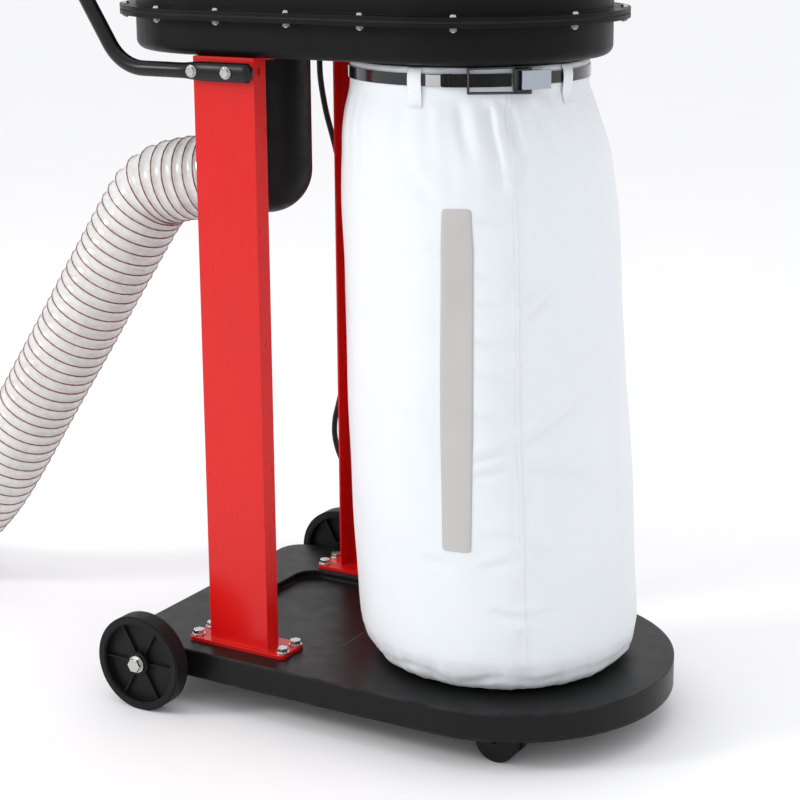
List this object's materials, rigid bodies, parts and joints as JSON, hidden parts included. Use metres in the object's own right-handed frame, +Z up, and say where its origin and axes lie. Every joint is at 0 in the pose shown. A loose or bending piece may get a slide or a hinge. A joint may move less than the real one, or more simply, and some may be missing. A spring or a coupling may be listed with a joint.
{
  "type": "dust collector",
  "caption": "Mobile dust collector: wheeled base, two columns, fan head with motor, pleated filter, collection bag and flexible inlet hose.",
  "frame": {"origin": "on the floor, under the middle of the machine's outline measured without its hose and mains cord", "axes": "+Z up; +X towards the collection bag and -X towards the push handle and hose; -Y is the side with the switch and the bag window"},
  "size_m": [1.7989, 0.6165, 1.692],
  "materials": {
    "tray_paint": "semi-gloss black enamel",
    "red_paint": "bright red gloss enamel",
    "zinc_steel": "bright zinc plate",
    "housing_paint": "satin black powder coat",
    "gasket_rubber": "matte black rubber",
    "bare_steel": "machined steel",
    "cast_aluminium": "die-cast aluminium",
    "copper_windings": "varnished copper wire",
    "black_plastic": "moulded black plastic",
    "green_plastic": "glossy green plastic",
    "red_plastic": "glossy red plastic",
    "bag_fabric": "thin white woven plastic",
    "window_film": "clear plastic film",
    "strap_paint": "glossy black enamel",
    "lever_chrome": "bright plated steel",
    "latch_wire": "dark plated spring wire",
    "hose_plastic": "translucent grey plastic with a copper-coloured wire helix",
    "handle_paint": "gloss black enamel",
    "cord_rubber": "black rubber sheath",
    "filter_paper": "pleated white filter felt"
  },
  "bodies": {
    "chassis": {"base_tray": "tray_paint", "right_column": "red_paint", "left_column": "red_paint", "foot_bolts": "zinc_steel", "foot_washers": "zinc_steel", "foot_nuts": "zinc_steel", "column_top_screws": "zinc_steel", "lower_housing": "housing_paint", "flange_gasket": "gasket_rubber", "upper_housing": "housing_paint", "flange_screws": "zinc_steel", "flange_nuts": "zinc_steel", "volute": "bare_steel", "motor_housing": "cast_aluminium", "motor_stator": "copper_windings", "motor_end_shields": "housing_paint", "motor_bearings": "bare_steel", "motor_fan_cowl": "housing_paint", "motor_bolts": "zinc_steel", "capacitor_box": "black_plastic", "switch_box": "black_plastic", "bag_ring": "black_plastic", "collection_bag": "bag_fabric", "bag_window": "window_film", "bag_strap": "strap_paint", "latch_rack": "black_plastic", "latch_base": "strap_paint", "inlet_elbow": "black_plastic", "hose_clamp": "zinc_steel", "hose": "hose_plastic", "hose_cuff": "black_plastic", "push_handle": "handle_paint", "handle_screws": "zinc_steel", "axle_bolts": "zinc_steel", "axle_spacers": "black_plastic", "axle_nuts": "zinc_steel", "right_caster_plate": "zinc_steel", "left_caster_plate": "zinc_steel", "cord_gland": "black_plastic", "power_cord": "cord_rubber", "cord_coil": "cord_rubber", "plug": "black_plastic", "filter_cartridge": "filter_paper", "filter_rings": "black_plastic", "filter_cap": "housing_paint", "filter_clamp": "zinc_steel"},
    "right_wheel": {"right_wheel": "black_plastic"},
    "left_wheel": {"left_wheel": "black_plastic"},
    "right_caster_fork": {"right_caster_hood": "black_plastic"},
    "right_caster_roll": {"right_caster_wheels": "black_plastic"},
    "left_caster_fork": {"left_caster_hood": "black_plastic"},
    "left_caster_roll": {"left_caster_wheels": "black_plastic"},
    "rotor": {"impeller": "cast_aluminium", "motor_shaft": "bare_steel", "motor_fan": "black_plastic"},
    "filter_crank": {"flapper_crank": "black_plastic"},
    "latch_lever": {"latch_lever": "lever_chrome"},
    "latch_bail": {"latch_bail": "latch_wire"},
    "start_button": {"start_button": "green_plastic"},
    "stop_button": {"stop_button": "red_plastic"}
  },
  "joints": [
    {"name": "right_wheel_spin", "type": "hinge", "parent": "chassis", "child": "right_wheel", "pos_m": [-0.20983, -0.242, 0.0625], "axis": [0, 1, 0], "continuous": true},
    {"name": "right_caster_swivel", "type": "hinge", "parent": "chassis", "child": "right_caster_fork", "pos_m": [0.24317, -0.149, 0.062], "axis": [0, 0, 1], "continuous": true},
    {"name": "right_caster_spin", "type": "hinge", "parent": "right_caster_fork", "child": "right_caster_roll", "pos_m": [0.25817, -0.149, 0.028], "axis": [0, 1, 0], "continuous": true},
    {"name": "left_wheel_spin", "type": "hinge", "parent": "chassis", "child": "left_wheel", "pos_m": [-0.20983, 0.242, 0.0625], "axis": [0, 1, 0], "continuous": true},
    {"name": "left_caster_swivel", "type": "hinge", "parent": "chassis", "child": "left_caster_fork", "pos_m": [0.24317, 0.149, 0.062], "axis": [0, 0, 1], "continuous": true},
    {"name": "left_caster_spin", "type": "hinge", "parent": "left_caster_fork", "child": "left_caster_roll", "pos_m": [0.25817, 0.149, 0.028], "axis": [0, 1, 0], "continuous": true},
    {"name": "rotor_spin", "type": "hinge", "parent": "chassis", "child": "rotor", "pos_m": [-0.16383, 0, 1.09], "axis": [0, 0, 1], "continuous": true},
    {"name": "filter_crank_turn", "type": "hinge", "parent": "chassis", "child": "filter_crank", "pos_m": [0.13317, 0, 1.62], "axis": [0, 0, 1], "continuous": true},
    {"name": "latch_lever_hinge", "type": "hinge", "parent": "chassis", "child": "latch_lever", "pos_m": [0.25539, -0.09549, 0.81], "axis": [0, 0, -1], "range_deg": [0, 110]},
    {"name": "latch_bail_hinge", "type": "hinge", "parent": "latch_lever", "child": "latch_bail", "pos_m": [0.26032, -0.08919, 0.81], "axis": [0, 0, -1], "range_deg": [-127, 0]},
    {"name": "start_press", "type": "slide", "parent": "chassis", "child": "start_button", "axis": [0, 1, 0], "range_m": [0, 0.003], "stiffness_N_per_m": 600},
    {"name": "stop_press", "type": "slide", "parent": "chassis", "child": "stop_button", "axis": [0, 1, 0], "range_m": [0, 0.003], "stiffness_N_per_m": 600}
  ],
  "couplings": [
    {"joint": "latch_bail_hinge", "follows": "latch_lever_hinge", "ratio": -1.15}
  ]
}
